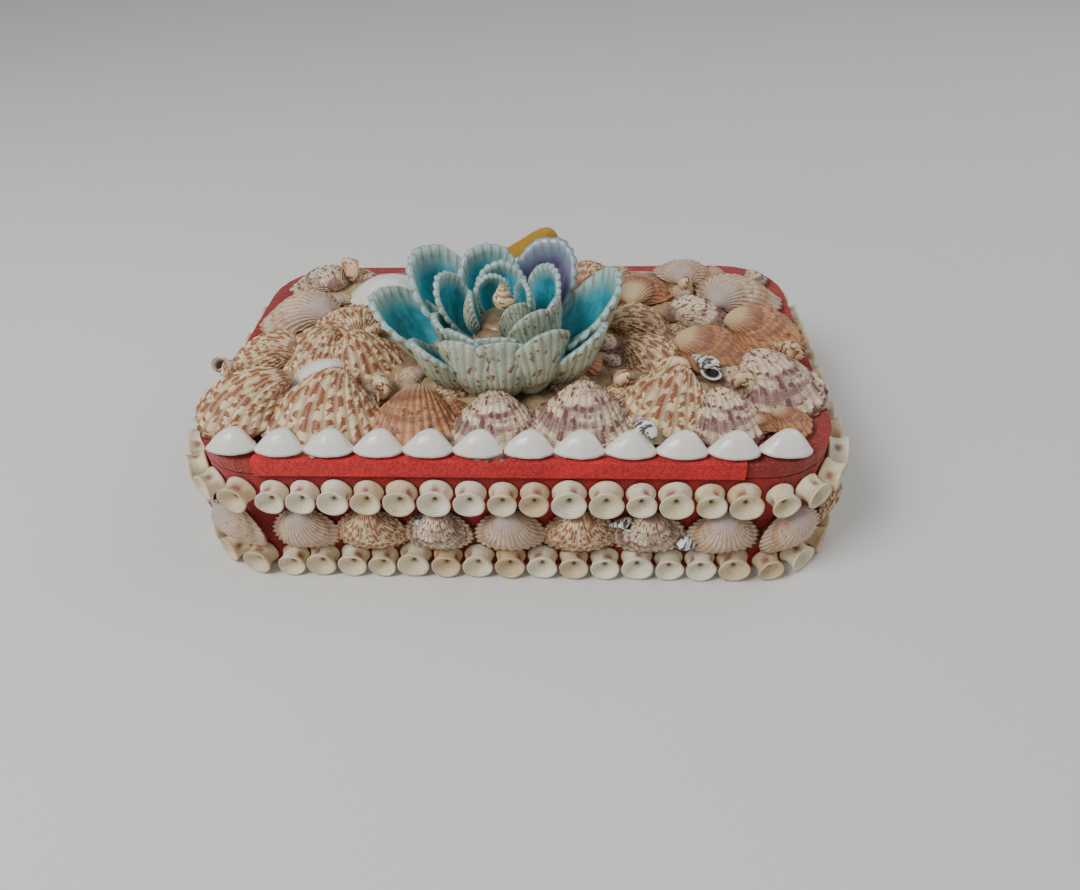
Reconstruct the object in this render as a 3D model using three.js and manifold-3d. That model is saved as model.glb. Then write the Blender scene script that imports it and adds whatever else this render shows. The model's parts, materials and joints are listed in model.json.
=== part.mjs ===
// Souvenir shell box: a velvet-covered cardboard box with a cloth-hinged lid, covered with glued shells.
// Millimetres, +Z up, origin at the centre of the box's underside. The hinge side is -Y, the pull side +Y.
import * as THREE from "three";
import { mergeVertices } from "three/addons/utils/BufferGeometryUtils.js";
import Module from "manifold-3d";

const wasm = await Module();
wasm.setup();

// ---- driving dimensions ---------------------------------------------------------------------------------
const GAP = 0.3;
const BOX = { width: 172, depth: 104, corner: 19.5, rim: 34, wall: 3.2, floor: 3, arcSteps: 6 };
const LID = { underside: 34.5, top: 38.7 };
const CLOTH = { left: -66, right: 61, thick: 0.6, wrap: 5 };
const VERTEBRA = { length: 5.4, spread: 0.09, perSide: 15 };
const UPPER_ROW_CENTRE = 29;
const BAND = {
  bottom: 10, top: 23.7, glue: 0.9, cockles: 7, snails: 5, snailLength: 9, snailAcross: 4.6,
};
const CLOTH_TOP = LID.top + GAP + CLOTH.thick;
const RIBBON = { width: 4.6, thick: 0.5 };
const FLOWER = { x: -3, y: -13, base: LID.top + GAP };
const UMBO_TIGHTNESS = 1.0; // how fast a valve shrinks as it coils towards its umbo
const PETAL_WALL = 1.2;
const FACET_TOLERANCE = 0.3; // facets flatter than this are merged on the fused pieces
const CLEARANCE = 0.5; // what a piece is cut back by where its neighbour lies against it

const VELVET = { color: 0xa31310, roughness: 0.95, metalness: 0 };
const BONE = { color: 0xe6dcb4, roughness: 0.6, metalness: 0 };
const CREAM = { color: 0xe3d6bd, roughness: 0.6, metalness: 0 };
const BROWN = { color: 0xb07a55, roughness: 0.6, metalness: 0 };
const WHITE = { color: 0xf1ece2, roughness: 0.35, metalness: 0 };
const TEAL = { color: 0x49b3bb, roughness: 0.5, metalness: 0 };
const YELLOW = { color: 0xd9a520, roughness: 0.8, metalness: 0 };

// ---- helpers --------------------------------------------------------------------------------------------
const group = new THREE.Group();

function seeded(seed) {
  let state = seed;
  return () => {
    state = (state * 16807) % 2147483647;
    return state / 2147483647;
  };
}

function solidOf(geometry) {
  const bare = geometry.clone();
  bare.deleteAttribute("normal");
  bare.deleteAttribute("uv");
  const merged = mergeVertices(bare, 1e-4);
  const triVerts = Uint32Array.from(merged.index.array);
  const vertProperties = Float32Array.from(merged.attributes.position.array);
  const solid = new wasm.Manifold(new wasm.Mesh({ numProp: 3, vertProperties, triVerts }));
  if (solid.volume() > 0) return solid;
  const flipped = triVerts.map((v, i) => triVerts[i - (i % 3) + [0, 2, 1][i % 3]]);
  return new wasm.Manifold(new wasm.Mesh({ numProp: 3, vertProperties, triVerts: flipped }));
}

function addNode(name, solid, look) {
  const mesh = solid.getMesh();
  const geometry = new THREE.BufferGeometry();
  geometry.setAttribute("position", new THREE.Float32BufferAttribute(mesh.vertProperties, 3));
  geometry.setIndex(new THREE.Uint32BufferAttribute(mesh.triVerts, 1));
  geometry.computeVertexNormals();
  const node = new THREE.Mesh(geometry, new THREE.MeshStandardMaterial(look));
  node.name = name;
  group.add(node);
}

function unite(solids) {
  return solids.reduce((all, one) => all.add(one));
}

function largest(solid) {
  return solid.decompose().reduce((best, one) => (one.volume() > best.volume() ? one : best));
}

function boxesMeet(a, b) {
  const [p, q] = [a.boundingBox(), b.boundingBox()];
  return [0, 1, 2].every((k) => p.min[k] < q.max[k] && q.min[k] < p.max[k]);
}

function clearOf(solid, cutters) {
  const near = cutters.filter((cutter) => boxesMeet(solid, cutter));
  if (near.length === 0) return solid;
  return largest(near.reduce((rest, cutter) => rest.subtract(cutter), solid)).simplify(CLEARANCE / 2);
}

function block(x0, x1, y0, y1, z0, z1) {
  const geometry = new THREE.BoxGeometry(x1 - x0, y1 - y0, z1 - z0);
  return solidOf(geometry.translate((x0 + x1) / 2, (y0 + y1) / 2, (z0 + z1) / 2));
}

function roundedSlab(inset, z0, z1) {
  const [w, d, r] = [BOX.width / 2 - inset, BOX.depth / 2 - inset, BOX.corner - inset];
  const shape = new THREE.Shape();
  shape.absarc(w - r, d - r, r, 0, Math.PI / 2);
  shape.absarc(r - w, d - r, r, Math.PI / 2, Math.PI);
  shape.absarc(r - w, r - d, r, Math.PI, 1.5 * Math.PI);
  shape.absarc(w - r, r - d, r, 1.5 * Math.PI, 2 * Math.PI);
  // An arc in a shape gets twice curveSegments.
  const settings = { depth: z1 - z0, bevelEnabled: false, curveSegments: BOX.arcSteps / 2 };
  return solidOf(new THREE.ExtrudeGeometry(shape, settings).translate(0, 0, z0));
}

// A frame whose local X, Y and Z run along the given directions.
function frameAt(origin, xAxis, yAxis, zAxis) {
  return new THREE.Matrix4().makeBasis(xAxis, yAxis, zAxis).setPosition(origin);
}

// ---- places around the walls ----------------------------------------------------------------------------
// Each side is a run along the wall: its length, and the point and outward normal at a distance along it.
// The long sides are straight; each end takes its two round corners.
function straightRun(sign) {
  const length = BOX.width - 2 * BOX.corner;
  const at = (s, offset) => ({
    point: new THREE.Vector2(sign * (length / 2 - s), sign * (BOX.depth / 2 + offset)),
    normal: new THREE.Vector2(0, sign),
  });
  return { length: () => length, corners: () => [0, length], at };
}

function endRun(sign) {
  const straight = BOX.depth - 2 * BOX.corner;
  const arc = (offset) => ((BOX.corner + offset) * Math.PI) / 2;
  const at = (s, offset) => {
    const radius = BOX.corner + offset;
    const inArc = s < arc(offset) ? s - arc(offset) : Math.max(0, s - arc(offset) - straight);
    const angle = inArc / radius;
    const slide = Math.min(Math.max(s - arc(offset), 0), straight) - straight / 2;
    const normal = new THREE.Vector2(sign * Math.cos(angle), sign * Math.sin(angle));
    const centre = new THREE.Vector2(sign * (BOX.width / 2 - BOX.corner), sign * slide);
    return { point: centre.addScaledVector(normal, radius), normal };
  };
  const length = (offset) => 2 * arc(offset) + straight;
  const steps = Array.from({ length: BOX.arcSteps + 1 }, (_, i) => i / BOX.arcSteps);
  const corners = (offset) => [
    ...steps.map((t) => t * arc(offset)), ...steps.map((t) => length(offset) - arc(offset) * (1 - t)),
  ];
  return { length, corners, at };
}

const SIDES = { front: straightRun(-1), right: endRun(1), back: straightRun(1), left: endRun(-1) };

// Local X runs along the wall, local Y up it and local Z out of it.
function wallFrame(run, s, offset, z, turn = 0) {
  const { point, normal } = run.at(s, offset);
  const out = new THREE.Vector3(normal.x, normal.y, 0);
  const up = new THREE.Vector3(0, 0, 1);
  const along = new THREE.Vector3().crossVectors(up, out);
  const frame = frameAt(new THREE.Vector3(point.x, point.y, z), along, up, out);
  return frame.multiply(new THREE.Matrix4().makeRotationZ(turn));
}

// ---- fish vertebrae -------------------------------------------------------------------------------------
// A row of short drums, standing on the wall side by side and touching, made as one scalloped band: local
// stations run along the wall, each a flat four-cornered section as tall as the drum is there.
const DRUM_STATIONS = [[-0.5, 0.48], [-0.2, 0.95], [0.2, 0.95]]; // place and half height, in drum widths

function drumWidths(seed) {
  const random = seeded(seed);
  return Array.from({ length: VERTEBRA.perSide }, () => 1 + VERTEBRA.spread * (2 * random() - 1));
}

function sectionAt(run, s, z0, z1, near, far) {
  const { point, normal } = run.at(s, near);
  const inner = point.clone();
  const outer = point.clone().addScaledVector(normal, far - near);
  return [[inner, z0], [inner, z1], [outer, z1], [outer, z0]].map(([p, z]) => new THREE.Vector3(p.x, p.y, z));
}

function vertebraRow(run, seed, heightOf) {
  const [near, far] = [GAP, GAP + VERTEBRA.length];
  const widths = drumWidths(seed);
  const scale = (run.length(near) - 2 * GAP) / widths.reduce((a, b) => a + b);
  const sections = [];
  let left = GAP;
  widths.forEach((share, i) => {
    const across = share * scale;
    const centre = heightOf(across);
    const stations = i === widths.length - 1 ? [...DRUM_STATIONS, [0.5, 0.48]] : DRUM_STATIONS;
    stations.forEach(([place, half]) => {
      const tall = (half * across) / 1.9;
      const s = left + (0.5 + place) * across;
      sections.push(sectionAt(run, s, centre - tall, centre + tall, near, far));
    });
    left += across;
  });
  return loft(sections);
}

// ---- two-valved shells ----------------------------------------------------------------------------------
// One valve: the umbo is near the local origin, the margin lies in the plane Z = 0 and runs out along +Y,
// and the dome rises along +Z. The valve is the margin outline shrunk and turned about the hinge line as it
// coils back to the umbo.
function valveRing(spec, coil, scale = 1) {
  const shrink = Math.exp(-UMBO_TIGHTNESS * coil);
  const ring = [];
  for (let j = 0; j < spec.sides; j += 1) {
    const around = (2 * Math.PI * (j + 0.5)) / spec.sides;
    const share = 0.03 + 0.97 * (1 - Math.cos(around)) / 2;
    const taper = spec.narrow + (1 - spec.narrow) * share;
    const x = spec.width * (0.5 * Math.sin(around) * taper + spec.skew * share * (1 - share));
    const y = spec.height * share;
    const point = new THREE.Vector3(x, y * Math.cos(coil), y * Math.sin(coil) * spec.dome);
    point.multiplyScalar(shrink);
    const middle = new THREE.Vector3(0, 0.45 * spec.height, 0.1 * spec.height);
    ring.push(point.sub(middle).multiplyScalar(scale).add(middle));
  }
  return ring;
}

class Skin {
  constructor() {
    this.points = [];
    this.index = [];
  }

  ring(points) {
    const first = this.points.length;
    this.points.push(...points);
    return points.map((p, j) => first + j);
  }

  band(a, b) {
    a.forEach((v, j) => {
      const k = (j + 1) % a.length;
      this.index.push(v, a[k], b[k], v, b[k], b[j]);
    });
  }

  cap(ring) {
    for (let j = 1; j + 1 < ring.length; j += 1) this.index.push(ring[0], ring[j], ring[j + 1]);
  }

  tip(ring, point) {
    const [tip] = this.ring([point]);
    ring.forEach((v, j) => this.index.push(v, ring[(j + 1) % ring.length], tip));
  }

  solid(frame) {
    const geometry = new THREE.BufferGeometry().setFromPoints(this.points);
    geometry.setIndex(this.index);
    return solidOf(geometry.applyMatrix4(frame));
  }
}

function loft(sections) {
  const skin = new Skin();
  const loops = sections.map((section) => skin.ring(section));
  loops.slice(1).forEach((loop, i) => skin.band(loops[i], loop));
  skin.cap([...loops[0]].reverse());
  skin.cap(loops.at(-1));
  return skin.solid(new THREE.Matrix4());
}

function centreOf(ring) {
  return ring.reduce((sum, p) => sum.add(p), new THREE.Vector3()).divideScalar(ring.length);
}

const UMBO_COIL = 2.1;

// grow > 0 gives the same valve swollen by that much, for cutting its neighbours clear of it.
function filledValve(spec, frame, grow = 0) {
  const scale = 1 + grow / (0.4 * spec.height);
  const skin = new Skin();
  const rings = spec.coils.map((coil) => skin.ring(valveRing(spec, coil, scale)));
  rings.slice(1).forEach((ring, i) => skin.band(rings[i], ring));
  skin.tip(rings.at(-1), centreOf(valveRing(spec, UMBO_COIL, scale)));
  const foot = grow ? skin.ring(valveRing(spec, 0, scale).map((p) => p.setZ(-grow))) : rings[0];
  if (grow) skin.band(foot, rings[0]);
  skin.cap([...foot].reverse());
  return skin.solid(frame);
}

function hollowValve(spec, frame, grow = 0) {
  const outside = 1 + grow / (0.4 * spec.height);
  const inside = 1 - (PETAL_WALL + grow) / (0.45 * spec.height);
  const skin = new Skin();
  const rings = spec.coils.map((coil) => skin.ring(valveRing(spec, coil, outside)));
  rings.slice(1).forEach((ring, i) => skin.band(rings[i], ring));
  skin.tip(rings.at(-1), centreOf(valveRing(spec, UMBO_COIL, outside)));
  const lip = skin.ring(valveRing(spec, 0, inside));
  skin.band(lip, rings[0]);
  skin.tip([...lip].reverse(), centreOf(valveRing(spec, spec.coils[1], inside)));
  return skin.solid(frame);
}

// ---- snail shells ---------------------------------------------------------------------------------------
// Local Y is the axis, from the apex at 0 to the open end.
const SPIRE = [[0, 0], [0.45, 0.72], [0.68, 1], [0.92, 0.6], [1, 0]];
const BARREL = [[0, 0], [0.14, 0.55], [0.42, 1], [0.78, 0.86], [1, 0.4], [1, 0]];

function snail(profile, length, across, sides, frame) {
  const points = profile.map(([along, out]) => new THREE.Vector2((out * across) / 2, along * length));
  return solidOf(new THREE.LatheGeometry(points, sides).applyMatrix4(frame));
}

// ---- box, lid, cloth and ribbon -------------------------------------------------------------------------
function tray() {
  const inner = roundedSlab(BOX.wall, BOX.floor, BOX.rim + 1);
  return roundedSlab(0, 0, BOX.rim).subtract(inner);
}

function hingeCloth() {
  const [near, edge] = [-BOX.depth / 2 - GAP - CLOTH.thick, -BOX.depth / 2 - GAP];
  const front = block(CLOTH.left, CLOTH.right, near, edge, LID.underside + 0.1, CLOTH_TOP);
  return front.add(block(CLOTH.left, CLOTH.right, near, near + CLOTH.wrap, LID.top + GAP, CLOTH_TOP));
}

// The ribbon's stations: where its middle runs, and which way its width points there.
const RIBBON_ROUTE = [
  { at: [8, 52.7, 34.8], wide: [1, 0, 0] },
  { at: [8, 52.8, 39.5], wide: [1, 0, 0] },
  { at: [8.4, 52.4, 45], wide: [1, 0.2, 0] },
  { at: [8.8, 51.6, 49.4], wide: [0.9, 0.4, 0.2] },
  { at: [7.2, 51, 51.6], wide: [0.6, 0.5, 0.6] },
  { at: [4, 50.4, 50.8], wide: [0, 0.5, 0.9] },
  { at: [0, 50, 48.4], wide: [-0.4, 0.3, 0.8] },
  { at: [-5.6, 49.6, 45.2], wide: [-0.4, 0.2, 0.8] },
];

function ribbon() {
  const middles = RIBBON_ROUTE.map(({ at }) => new THREE.Vector3(...at));
  const rings = middles.map((middle, i) => {
    const ahead = middles[Math.min(i + 1, middles.length - 1)].clone().sub(middles[Math.max(i - 1, 0)]);
    const normal = new THREE.Vector3(...RIBBON_ROUTE[i].wide).cross(ahead).normalize();
    const wide = new THREE.Vector3().crossVectors(ahead, normal).normalize().multiplyScalar(RIBBON.width / 2);
    normal.multiplyScalar(RIBBON.thick / 2);
    return [[1, 1], [-1, 1], [-1, -1], [1, -1]].map(([a, b]) =>
      middle.clone().addScaledVector(wide, a).addScaledVector(normal, b));
  });
  return loft(rings);
}

// ---- band of cockles and little snails between the vertebra rows ----------------------------------------
const COCKLE = { sides: 8, coils: [0, 0.75], narrow: 0.62, skew: 0, dome: 1.0, width: 19, height: 14.4 };

function glueStrip(run) {
  const length = run.length(GAP);
  const sections = run.corners(GAP).map((s) =>
    sectionAt(run, Math.min(Math.max(s, GAP), length - GAP), BAND.bottom, BAND.top, GAP, GAP + BAND.glue));
  return loft(sections);
}

// The room of one side's band: between the two vertebra rows, and short of its neighbours at the corners.
function bandRoom(run) {
  const end = BOX.width / 2 - BOX.corner;
  const reach = BOX.width;
  const isLong = run === SIDES.front || run === SIDES.back;
  if (isLong) return block(GAP / 2 - end, end - GAP / 2, -reach, reach, BAND.bottom, BAND.top);
  const sign = run === SIDES.right ? 1 : -1;
  const [x0, x1] = [sign * (end + GAP), sign * reach].sort((p, q) => p - q);
  return block(x0, x1, -reach, reach, BAND.bottom, BAND.top);
}

function cockleBand(run, seed) {
  const random = seeded(seed);
  const length = run.length(GAP);
  const pieces = [];
  for (let i = 0; i < BAND.cockles; i += 1) {
    const spec = { ...COCKLE, width: COCKLE.width * (0.86 + 0.16 * random()) };
    const turn = Math.PI + 0.2 * (random() - 0.5);
    const s = (length * (i + 0.5)) / BAND.cockles;
    pieces.push(filledValve(spec, wallFrame(run, s, GAP + 0.6, BAND.top - 0.5, turn)));
  }
  for (let i = 0; i < (run === SIDES.front ? BAND.snails : 0); i += 1) {
    const s = (length * (i + 0.5)) / BAND.snails + (i % 2 ? 4 : -4);
    const high = i % 2 ? BAND.top - 3.2 : BAND.bottom + 3;
    const lean = (random() > 0.5 ? 1 : -1) * (1.2 + 0.5 * random());
    const frame = wallFrame(run, s, GAP + 2.6, high, lean);
    frame.multiply(new THREE.Matrix4().makeTranslation(0, -BAND.snailLength / 2, 0));
    pieces.push(snail(SPIRE, BAND.snailLength, BAND.snailAcross, 5, frame));
  }
  const ornaments = unite(pieces).simplify(FACET_TOLERANCE).intersect(bandRoom(run));
  return largest(glueStrip(run).add(ornaments));
}

// ---- flower ---------------------------------------------------------------------------------------------
// Petals are empty valves standing on their umbos. bearing is measured from +X towards +Y, rise is the
// angle of the petal above the lid, reach is how far the umbo is from the flower's axis.
const PETAL = { sides: 6, coils: [0, 0.75], narrow: 0.66, skew: 0.06, dome: 0.9 };
const RINGS = {
  outer: { reach: 9, foot: 3.5, hub: 12, petals: [
    [12, 46, 35, 25], [-24, 42, 29, 20], [-54, 58, 26, 22], [-85, 60, 24, 24], [-113, 58, 24, 23],
    [-143, 44, 25, 19], [168, 35, 34, 25], [137, 48, 35, 24], [103, 58, 30, 22], [62, 48, 34, 24],
  ] },
  middle: { reach: 7.5, foot: 9.5, hub: 9.6, petals: [
    [196, 50, 17, 15], [158, 62, 22, 17], [232, 54, 16, 19], [270, 58, 15, 20],
    [310, 66, 20, 17], [342, 64, 20, 16], [38, 62, 22, 17], [92, 68, 20, 17],
  ] },
  inner: { reach: 5.2, foot: 14.5, hub: 7.2, petals: [
    [184, 78, 13, 11], [112, 80, 14, 12], [28, 80, 14, 12], [306, 76, 13, 11],
  ] },
};
const CENTRE_SNAIL = { length: 11, across: 8, foot: 19.6 };

function petalFrame(bearing, rise, reach, height) {
  const [b, a] = [bearing, rise].map(THREE.MathUtils.degToRad);
  const out = new THREE.Vector3(Math.cos(b), Math.sin(b), 0);
  const up = new THREE.Vector3(0, 0, 1);
  const along = out.clone().multiplyScalar(Math.cos(a)).addScaledVector(up, Math.sin(a));
  const convex = out.clone().multiplyScalar(Math.sin(a)).addScaledVector(up, -Math.cos(a));
  const across = new THREE.Vector3().crossVectors(along, convex);
  const foot = new THREE.Vector3(FLOWER.x, FLOWER.y, FLOWER.base + height).addScaledVector(out, reach);
  return frameAt(foot, across, along, convex);
}

function glueHub(radius, bottom, top) {
  const hub = new THREE.CylinderGeometry(radius * 0.8, radius, top - bottom, 8);
  return solidOf(hub.rotateX(Math.PI / 2).translate(FLOWER.x, FLOWER.y, FLOWER.base + (bottom + top) / 2));
}

function flowerRing(ring, bottom, top) {
  const frames = ring.petals.map(([bearing, rise, length, width]) =>
    [{ ...PETAL, height: length, width }, petalFrame(bearing, rise, ring.reach, ring.foot)]);
  const pieces = [glueHub(ring.hub, bottom, top), ...frames.map(([spec, frame]) => hollowValve(spec, frame))];
  return {
    solid: unite(pieces).simplify(2 * FACET_TOLERANCE),
    cutters: [
      glueHub(ring.hub + CLEARANCE, bottom - CLEARANCE, top + CLEARANCE),
      ...frames.map(([spec, frame]) => hollowValve(spec, frame, CLEARANCE)),
    ],
  };
}

// ---- shells on the lid ----------------------------------------------------------------------------------
// [name, x, y, bearing of the margin, length across, look]; bearing is measured from +X towards +Y.
const VALVE = {
  sides: 8, coils: [0, 0.5, 1.2], narrow: 0.86, skew: 0.05, dome: 0.95, wide: 1.25, long: 1.04,
};
const LID_VALVES = [
  ["front_spotted_cream", -74, -32, 215, 25, CREAM], ["front_ribbed_cream", -50, -37, 262, 27, CREAM],
  ["front_orange_brown", -25, -39, 270, 21, BROWN], ["front_banded_white", -3, -41, 275, 21, CREAM],
  ["front_purple_brown", 20, -39, 268, 23, BROWN], ["front_spotted_tall", 42, -32, 245, 24, CREAM],
  ["front_small_banded", 58, -37, 285, 18, CREAM], ["front_purple_banded", 73, -24, 300, 24, CREAM],
  ["left_spotted", -75, -6, 160, 21, CREAM], ["left_cream", -61, -8, 240, 21, CREAM],
  ["left_smooth_clam", -57, -20, 205, 17, WHITE], ["left_spotted_blue", -44, -12, 300, 22, CREAM],
  ["left_beaded", -71, 16, 150, 23, CREAM], ["left_yellow_cream", -54, 9, 120, 23, CREAM],
  ["left_back_open", -45, 29, 100, 24, CREAM], ["left_back_corner", -69, 37, 130, 20, CREAM],
  ["right_spotted", 41, -9, 330, 19, CREAM], ["right_round_brown", 59, -6, 350, 22, BROWN],
  ["right_orange_brown", 75, 5, 350, 22, BROWN], ["right_ribbed_cream", 38, 10, 20, 20, CREAM],
  ["right_banded", 56, 15, 30, 20, BROWN], ["right_orange_back", 37, 30, 80, 21, BROWN],
  ["right_concentric", 69, 26, 50, 24, BROWN], ["back_upright_brown", 19, 26, 60, 21, BROWN],
  ["back_row_1", -22, 35, 100, 24, CREAM], ["back_row_2", -1, 34, 90, 23, CREAM],
  ["back_row_3", 21, 44, 80, 15, CREAM], ["back_row_4", 54, 42, 75, 18, CREAM],
];
const LID_SNAILS = [
  ["round_open", -59, 38, 250, 9, 9, BARREL, BROWN], ["spotted_cone", -36, -27, 285, 12, 7.5, BARREL, BROWN],
  ["dark_turret", -43, 1, 205, 14, 5.5, SPIRE, BROWN], ["orange_cream", -81, -20, 200, 9, 7, BARREL, CREAM],
  ["small_orange", 30, -24, 300, 8, 6.5, BARREL, BROWN], ["olive_cream", 43, -19, 340, 13, 7, BARREL, CREAM],
  ["black_dotted", 35, -45, 285, 10, 6.5, BARREL, WHITE], ["open_barrel", 62, -26, 290, 10, 8, BARREL, BROWN],
  ["white_ribbed", 54, -18, 310, 13, 7, SPIRE, WHITE], ["cream_lying", 78, -10, 330, 12, 6.5, BARREL, CREAM],
  ["small_grey", 53, 29, 270, 9, 6, SPIRE, CREAM],
];

// Lying on the lid with its margin a little lower than its umbo.
function lidFrame(x, y, bearing, tilt, floor) {
  const [b, a] = [bearing, tilt].map(THREE.MathUtils.degToRad);
  const out = new THREE.Vector3(Math.cos(b) * Math.cos(a), Math.sin(b) * Math.cos(a), -Math.sin(a));
  const side = new THREE.Vector3(Math.sin(b), -Math.cos(b), 0);
  const rise = new THREE.Vector3().crossVectors(side, out);
  return frameAt(new THREE.Vector3(x, y, floor), side, out, rise);
}

const VALVE_TILT = 9;
const SNAIL_SEAT = 2.5; // snails sit in the hollows between the valves, a little above the lid

function lidValve([, x, y, bearing, across], grow = 0) {
  const spec = { ...VALVE, width: VALVE.wide * across, height: VALVE.long * across };
  const [b, a] = [bearing, VALVE_TILT].map(THREE.MathUtils.degToRad);
  const middle = spec.height / 2;
  const [footX, footY] = [x - Math.cos(b) * middle, y - Math.sin(b) * middle];
  const floor = LID.top + GAP + spec.height * Math.sin(a);
  return filledValve(spec, lidFrame(footX, footY, bearing, VALVE_TILT, floor), grow);
}

function lidSnail([, x, y, bearing, length, across, profile], grow = 0) {
  const b = THREE.MathUtils.degToRad(bearing);
  const [long, wide] = [length + 2 * grow, across + 2 * grow];
  const height = CLOTH_TOP + GAP + across / 2 + SNAIL_SEAT;
  const frame = lidFrame(x - Math.cos(b) * long / 2, y - Math.sin(b) * long / 2, bearing, 0, height);
  return snail(profile, long, wide, 6, frame);
}

// ---- white wedge shells along the lid's front edge ------------------------------------------------------
const WEDGE = { sides: 6, coils: [0, 0.7], narrow: 0.85, skew: 0.3, dome: 1.2 };
const WEDGE_ROW = { count: 12, left: -71, right: 72, y: -48.2, length: 14.5, deep: 7 };

function wedgeFrame(i) {
  const span = (WEDGE_ROW.right - WEDGE_ROW.left) / (WEDGE_ROW.count - 1);
  const x = WEDGE_ROW.left + i * span;
  const inCorner = Math.max(0, Math.abs(x) - BOX.width / 2 + BOX.corner);
  const y = WEDGE_ROW.y + (inCorner * inCorner) / (2 * BOX.corner);
  return lidFrame(x, y + WEDGE_ROW.deep / 2, 270, 0, CLOTH_TOP + GAP);
}

function wedgeValves(grow = 0) {
  const spec = { ...WEDGE, width: WEDGE_ROW.length, height: WEDGE_ROW.deep };
  return Array.from({ length: WEDGE_ROW.count }, (_, i) => filledValve(spec, wedgeFrame(i), grow));
}

function wedgeRow() {
  const bed = CLOTH_TOP + GAP;
  const glue = block(WEDGE_ROW.left, WEDGE_ROW.right, WEDGE_ROW.y - 0.5, WEDGE_ROW.y + 1.5, bed, bed + 0.8);
  return unite([glue, ...wedgeValves()]).simplify(FACET_TOLERANCE);
}

// ---- assembly -------------------------------------------------------------------------------------------
addNode("box_tray", tray(), VELVET);
addNode("lid_board", roundedSlab(0, LID.underside, LID.top), VELVET);
addNode("hinge_cloth", hingeCloth(), VELVET);
addNode("pull_ribbon", ribbon(), YELLOW);

Object.entries(SIDES).forEach(([side, run], i) => {
  addNode(`vertebrae_lower_${side}`, vertebraRow(run, 11 + i, (across) => across / 2), BONE);
  addNode(`vertebrae_upper_${side}`, vertebraRow(run, 31 + i, () => UPPER_ROW_CENTRE), BONE);
  addNode(`cockle_band_${side}`, cockleBand(run, 51 + i), CREAM);
});

addNode("wedge_shell_row", wedgeRow(), WHITE);

const outer = flowerRing(RINGS.outer, 0, 9);
const middleRing = flowerRing(RINGS.middle, 9 + GAP, 14);
const inner = flowerRing(RINGS.inner, 14 + GAP, 19);
const snailFrame = frameAt(
  new THREE.Vector3(FLOWER.x + 1, FLOWER.y, FLOWER.base + CENTRE_SNAIL.foot + CENTRE_SNAIL.length),
  new THREE.Vector3(1, 0, 0), new THREE.Vector3(0, 0, -1), new THREE.Vector3(0, 1, 0),
);
const centre = snail(BARREL, CENTRE_SNAIL.length, CENTRE_SNAIL.across, 6, snailFrame);
addNode("flower_outer_petals", outer.solid, TEAL);
addNode("flower_middle_petals", clearOf(middleRing.solid, outer.cutters), TEAL);
addNode("flower_inner_petals", clearOf(inner.solid, [...outer.cutters, ...middleRing.cutters]), TEAL);
addNode("flower_centre_snail",
  clearOf(centre, [...outer.cutters, ...middleRing.cutters, ...inner.cutters]), BROWN);
const taken = [
  ...outer.cutters,
  ...wedgeValves(CLEARANCE),
  block(-BOX.width, BOX.width, -BOX.depth, WEDGE_ROW.y + 2, 0, CLOTH_TOP + 1.5),
];

LID_SNAILS.forEach((item) => {
  addNode(`lid_snail_${item[0]}`, clearOf(lidSnail(item), taken), item[7]);
  taken.push(lidSnail(item, CLEARANCE));
});
LID_VALVES.forEach((item) => {
  addNode(`lid_shell_${item[0]}`, clearOf(lidValve(item), taken), item[5]);
  taken.push(lidValve(item, CLEARANCE));
});

export default group;
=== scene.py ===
"""Shell box: the looks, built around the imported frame."""
import json
import math

import bpy
import numpy as np
from mathutils import Matrix, Vector, noise

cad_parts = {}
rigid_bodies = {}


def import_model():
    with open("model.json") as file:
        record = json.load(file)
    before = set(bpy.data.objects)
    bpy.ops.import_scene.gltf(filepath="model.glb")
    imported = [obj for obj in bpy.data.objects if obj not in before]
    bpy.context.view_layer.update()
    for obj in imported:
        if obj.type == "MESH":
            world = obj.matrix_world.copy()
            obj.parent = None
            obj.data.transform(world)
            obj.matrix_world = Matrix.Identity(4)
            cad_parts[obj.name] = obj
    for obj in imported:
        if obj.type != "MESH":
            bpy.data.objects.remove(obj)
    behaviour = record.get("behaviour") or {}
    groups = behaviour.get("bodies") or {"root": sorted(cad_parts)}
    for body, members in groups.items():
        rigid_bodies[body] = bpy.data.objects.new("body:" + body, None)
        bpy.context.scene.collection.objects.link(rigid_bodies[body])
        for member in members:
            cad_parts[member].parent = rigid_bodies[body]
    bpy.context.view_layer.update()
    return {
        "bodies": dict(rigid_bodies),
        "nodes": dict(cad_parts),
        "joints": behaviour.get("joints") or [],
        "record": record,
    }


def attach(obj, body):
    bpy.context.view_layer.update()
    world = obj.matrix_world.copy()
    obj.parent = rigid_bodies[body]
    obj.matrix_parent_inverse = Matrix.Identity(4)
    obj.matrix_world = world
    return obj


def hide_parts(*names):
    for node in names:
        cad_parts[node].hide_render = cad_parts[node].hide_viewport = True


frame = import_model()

MM = 0.001  # the layout below is in millimetres, as the frame's own drawing is
TURN = 2 * math.pi


def rad(degrees):
    return math.radians(degrees)


# ---- camera -----------------------------------------------------------------------------------------
CAMERA = {"at": (19.83, -198.39, 172.30), "yaw": -0.072, "pitch": 0.714, "roll": -0.041, "lens": 26.0}


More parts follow.
